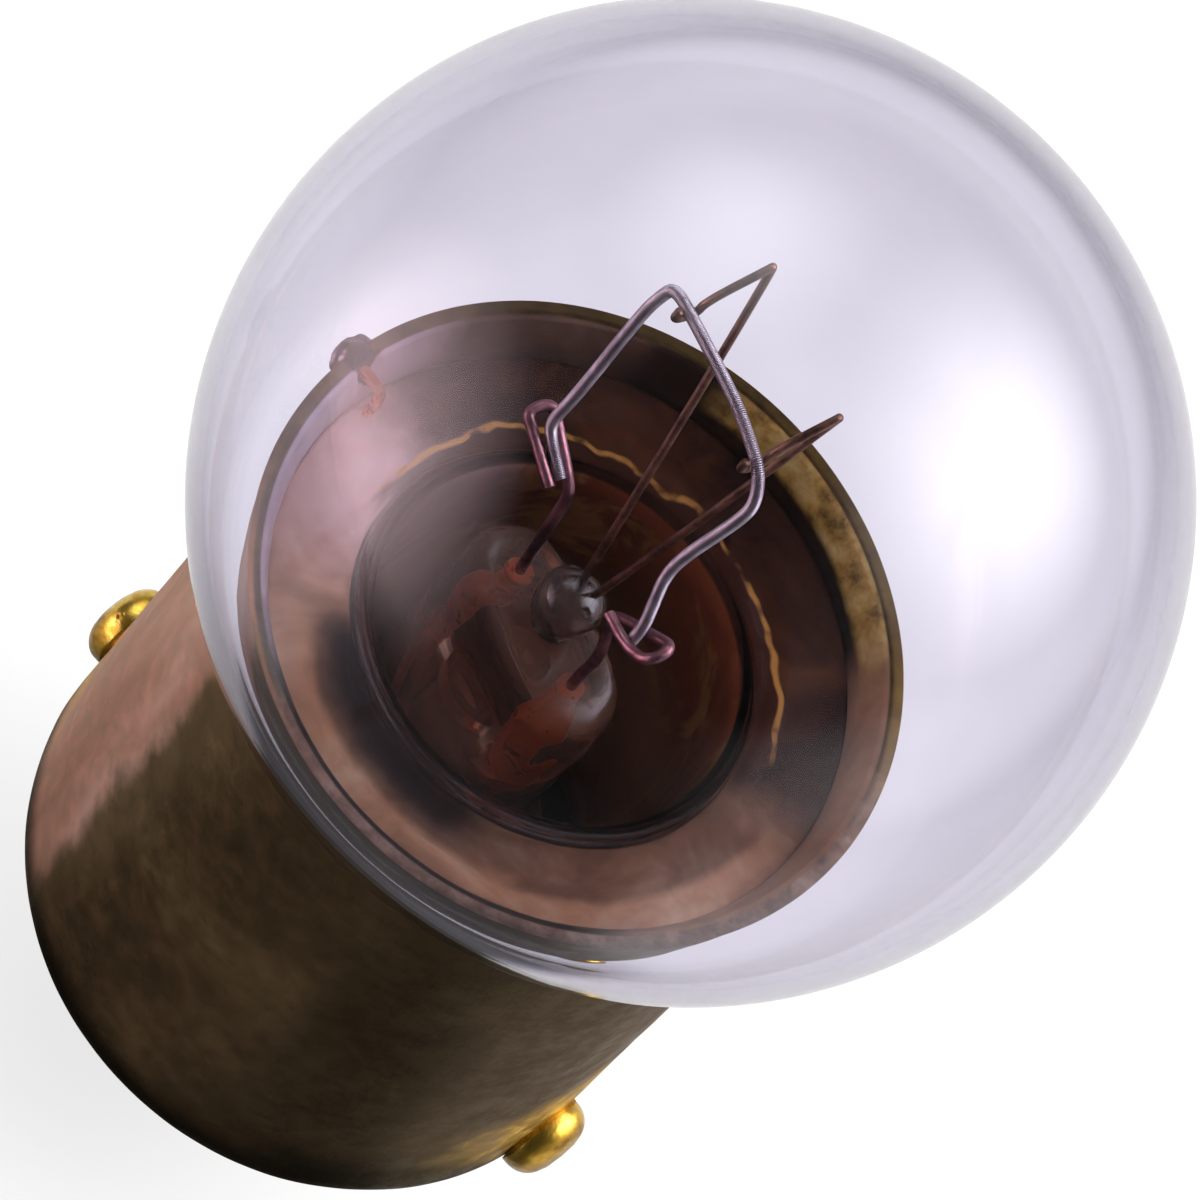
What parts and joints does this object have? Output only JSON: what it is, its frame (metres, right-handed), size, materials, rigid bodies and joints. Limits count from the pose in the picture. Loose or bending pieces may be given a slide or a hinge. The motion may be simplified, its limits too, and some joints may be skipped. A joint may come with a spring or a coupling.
{
  "type": "miniature bulb",
  "caption": "Round glass miniature bulb with a coiled filament on wire supports, in a tarnished brass bayonet cap with an end contact.",
  "frame": {"origin": "on the cap's axis, in the plane of its bayonet pins", "axes": "+Z along the cap's axis towards the top of the globe, +X through one bayonet pin"},
  "size_m": [0.022, 0.022, 0.0395],
  "materials": {
    "glass_bulb": "gloss",
    "glass_stem": "gloss",
    "exhaust_tube": "gloss",
    "stem_bead": "gloss",
    "support_wire_left": "satin",
    "support_wire_right": "satin",
    "lead_wire_left": "satin",
    "lead_wire_right": "satin",
    "seal_wire_left": "satin",
    "seal_wire_right": "satin",
    "filament": "satin",
    "shell_lead": "satin",
    "contact_lead": "satin",
    "cap_shell": "satin",
    "pin_left": "satin",
    "pin_right": "satin",
    "basing_cement": "matte",
    "insulator": "gloss",
    "contact_plate": "satin",
    "contact_solder": "satin",
    "rim_solder": "matte"
  },
  "bodies": {
    "root": {"glass_bulb": "glass_bulb", "glass_stem": "glass_stem", "exhaust_tube": "exhaust_tube", "stem_bead": "stem_bead", "support_wire_left": "support_wire_left", "support_wire_right": "support_wire_right", "lead_wire_left": "lead_wire_left", "lead_wire_right": "lead_wire_right", "seal_wire_left": "seal_wire_left", "seal_wire_right": "seal_wire_right", "filament": "filament", "shell_lead": "shell_lead", "contact_lead": "contact_lead", "cap_shell": "cap_shell", "pin_left": "pin_left", "pin_right": "pin_right", "basing_cement": "basing_cement", "insulator": "insulator", "contact_plate": "contact_plate", "contact_solder": "contact_solder", "rim_solder": "rim_solder"}
  },
  "joints": []
}
